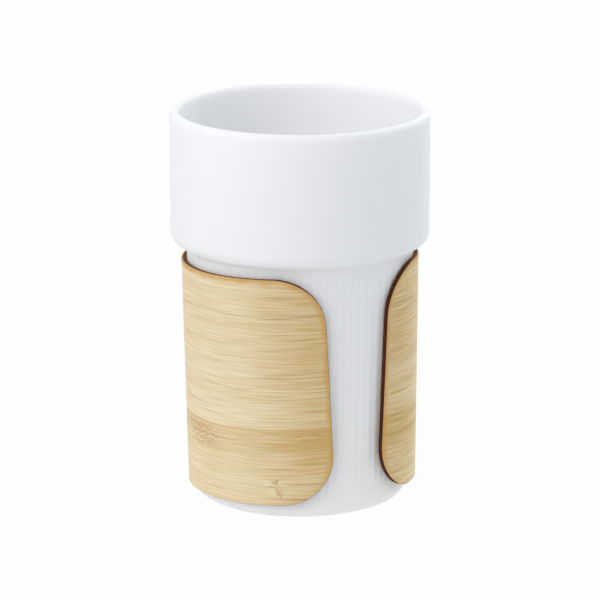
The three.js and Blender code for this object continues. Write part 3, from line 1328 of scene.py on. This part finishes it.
@dataclass
class Studio:
    """A pale floor, soft light all round with soft boxes on both sides, and the photograph's viewpoint.

    Lengths in metres and angles in degrees.
    """

    azimuth: float = -29.5
    elevation: float = 15.0
    distance: float = 1.150
    aim_height: float = 0.0607
    focal_px: float = 3706.0
    floor_half: float = 6.0
    floor_colour: Colour = (0.78, 0.785, 0.79, 1.0)
    shadow_share: float = 0.05
    glow_strength: float = 1.12
    glow_share: float = 0.7
    glow_start: float = 60.0 * MM
    glow_end: float = 150.0 * MM
    world_colour: Colour = (0.935, 0.972, 1.0, 1.0)
    world_strength: float = 0.632
    lamps: tuple[Lamp, ...] = (
        Lamp("left_soft_box", -78.0, 42.0, 7.0, WARM_TINT),
        Lamp("left_low_soft_box", -110.0, 12.0, 1.5, WARM_TINT),
        Lamp("right_rear_soft_box", 110.0, 30.0, 6.2, COOL_TINT),
        Lamp("right_fill_soft_box", 60.0, 30.0, 0.9, COOL_TINT),
    )

    def build(self) -> None:
        """Makes the camera, the lamps, the world and the floor."""
        self.add_camera()
        for lamp in self.lamps:
            self.add_lamp(lamp)
        self.light_world()
        self.add_floor()
        bpy.context.scene.view_settings.view_transform = "Standard"

    def hung(self, data: bpy.types.ID, bearing: float, rise: float, distance: float) -> bpy.types.Object:
        """Hangs a camera or a lamp round the mug, facing it.

        Args:
            data: The camera or lamp, whose name the object takes.
            bearing: Its bearing from the mug, in degrees.
            rise: Its height angle, in degrees.
            distance: How far off it is, in metres.

        Returns:
            The object.
        """
        thing = scene_object(data.name, data)
        turn, up = math.radians(bearing), math.radians(rise)
        out = Vector((math.sin(turn) * math.cos(up), -math.cos(turn) * math.cos(up), math.sin(up)))
        thing.location = Vector((0.0, 0.0, self.aim_height)) + out * distance
        thing.rotation_euler = (-out).to_track_quat("-Z", "Y").to_euler()
        return thing

    def add_camera(self) -> None:
        """Puts the camera at the photograph's viewpoint."""
        data = bpy.data.cameras.new("photo_camera")
        data.sensor_width = SENSOR_WIDTH_MM
        data.lens = self.focal_px / IMAGE_SIDE_PX * data.sensor_width
        bpy.context.scene.camera = self.hung(data, self.azimuth, self.elevation, self.distance)

    def add_lamp(self, lamp: Lamp) -> None:
        """Hangs one soft box, facing the mug.

        Args:
            lamp: The soft box.
        """
        data = bpy.data.lights.new(lamp.name, "AREA")
        data.shape = "RECTANGLE"
        data.size, data.size_y = lamp.width, lamp.tall
        data.energy = lamp.watts
        data.color = lamp.tint
        self.hung(data, lamp.bearing, lamp.rise, lamp.distance)

    def seen(self, maker: TreeMaker) -> Socket:
        """Tells rays that show the stage itself or its reflection from those that carry its light.

        Args:
            maker: The maker of the stage material's tree.

        Returns:
            1 for rays that show it, and 0 for the others.
        """
        path = maker.add("ShaderNodeLightPath").outputs
        shown = maker.math("MAXIMUM", path["Is Camera Ray"], path["Is Glossy Ray"])
        return maker.math("MAXIMUM", shown, path["Is Transmission Ray"])

    def light_world(self) -> None:
        """Makes a white surround that lights the mug at a plain level."""
        world = bpy.data.worlds.new("white_surround")
        world.use_nodes = True
        bpy.context.scene.world = world
        maker = TreeMaker(world.node_tree)
        world.node_tree.nodes.clear()
        light = maker.add("ShaderNodeBackground", {0: self.world_colour, 1: self.world_strength})
        white = maker.add("ShaderNodeBackground", {0: WHITE, 1: 1.0})
        feeds = {0: self.seen(maker), 1: light.outputs[0], 2: white.outputs[0]}
        both = maker.add("ShaderNodeMixShader", feeds)
        maker.add("ShaderNodeOutputWorld", {0: both.outputs[0]})

    def add_floor(self) -> None:
        """Lays the floor, which looks white, takes the mug's shadow and lights the mug softly from below.

        Rays that show the floor see white with a faint shadow. For the others it glows near the mug.
        """
        half = self.floor_half
        mesh = bpy.data.meshes.new("pale_floor")
        corners = [(-half, -half, 0.0), (half, -half, 0.0), (half, half, 0.0), (-half, half, 0.0)]
        mesh.from_pydata(corners, [], [(0, 1, 2, 3)])
        floor = scene_object("pale_floor", mesh)
        material = bpy.data.materials.new("pale_floor")
        material.use_nodes = True
        material.node_tree.nodes.clear()
        maker = TreeMaker(material.node_tree)
        seen = self.seen(maker)
        away = maker.length(maker.add("ShaderNodeTexCoord").outputs["Object"])
        hidden = maker.math("MULTIPLY", maker.math("SUBTRACT", 1.0, seen), self.glow_share)
        near = maker.math("MULTIPLY", maker.smooth(away, self.glow_end, self.glow_start), hidden)
        paint = maker.add("ShaderNodeBsdfDiffuse", {0: self.floor_colour})
        glow = maker.add("ShaderNodeEmission", {0: self.floor_colour, 1: self.glow_strength})
        lit = maker.add("ShaderNodeMixShader", {0: near, 1: paint.outputs[0], 2: glow.outputs[0]})
        white = maker.add("ShaderNodeEmission", {0: WHITE, 1: 1.0})
        share = maker.math("MULTIPLY", seen, 1.0 - self.shadow_share)
        both = maker.add("ShaderNodeMixShader", {0: share, 1: lit.outputs[0], 2: white.outputs[0]})
        maker.add("ShaderNodeOutputMaterial", {0: both.outputs[0]})
        mesh.materials.append(material)


def foot_scar() -> tuple[Knuckle, ...]:
    """The forked scar near the face veneer's foot.

    Returns:
        Its soft strokes, in the order in which they are drawn.
    """
    pale, patch, line = srgb(242, 224, 182), srgb(190, 142, 66), srgb(160, 106, 48)
    crease, streak, stalk = srgb(180, 132, 76), srgb(182, 134, 70), srgb(186, 142, 86)
    # Along, up, half width, half height, strength, colour and slant, as a Knuckle has them.
    strokes = (
        (80.6, 4.1, 1.7, 1.9, 0.6, pale, 0.0),
        (81.5, 7.2, 0.9, 1.05, 0.65, patch, -1.3),
        (82.3, 7.8, 0.9, 0.4, 0.7, line, 0.0),
        (80.7, 5.95, 1.6, 0.3, 0.45, crease, 0.0),
        (89.5, 6.65, 7.5, 0.35, 0.45, streak, 0.0),
        (82.7, 3.9, 0.9, 2.3, 0.45, stalk, -0.45),
        (83.8, 4.4, 0.4, 1.3, 0.4, stalk, -0.69),
    )
    return tuple(
        Knuckle(*sizes, flecked=False, colour=colour, slant=slant) for *sizes, colour, slant in strokes
    )


def veneer_finishes(effects: SharedEffects) -> dict[Ply, bpy.types.Material]:
    """The three plies' finishes.

    Args:
        effects: The shared shader groups.

    Returns:
        Each ply's material.
    """
    knuckles = (
        Knuckle(56.0, 19.6, 11.0, 5.4, 0.65),
        Knuckle(92.0, 22.0, 10.0, 2.0, 0.5, colour=srgb(184, 124, 62)),
        *foot_scar(),
        Knuckle(-60.0, 51.0, 11.0, 5.6, 0.55),
        Knuckle(-12.0, 33.0, 12.0, 5.4, 0.5),
        Knuckle(14.0, 65.0, 10.0, 4.6, 0.5),
    )
    back = BambooVeneer(
        "bamboo_back",
        pale=srgb(228, 207, 166),
        deep=srgb(194, 158, 104),
        roughness=0.58,
        seed=23.0,
        streaks=0.9,
    )
    core = BambooVeneer(
        "bamboo_core",
        pale=srgb(205, 170, 115),
        deep=srgb(170, 128, 76),
        roughness=0.6,
        seed=11.0,
        scorch_reach=3.0,
        burnt_rim=0.6,
    )
    face = BambooVeneer(
        "bamboo_face",
        pale=srgb(242, 227, 190),
        deep=srgb(208, 172, 103),
        roughness=0.5,
        seed=3.0,
        toast=srgb(208, 166, 112),
        knuckles=knuckles,
    )
    return {Ply.BACK: back.build(effects), Ply.CORE: core.build(effects), Ply.FACE: face.build(effects)}


def report(pieces: Iterable[bpy.types.Object]) -> None:
    """Logs each piece's size and face count.

    Args:
        pieces: The pieces.
    """
    for piece in pieces:
        size = ", ".join(f"{side / MM:.1f}" for side in piece.dimensions)
        log.info("%s: %s mm, %d faces", piece.name, size, len(piece.data.polygons))


def main() -> None:
    """Builds the mug's pieces and the studio, and reports them."""
    logging.basicConfig(level=logging.INFO, format="%(name)s: %(message)s")
    low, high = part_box("porcelain_cup")
    cup = PorcelainCup(height=(high.z - low.z) / MM, collar_radius=(high.x - low.x) / 2 / MM)
    sleeve = BambooSleeve(cup)
    effects = SharedEffects()
    pieces = [cup.build(PorcelainGlaze().build()), *sleeve.build(veneer_finishes(effects))]
    Studio().build()
    report(pieces)


if __name__ == "__main__":
    main()
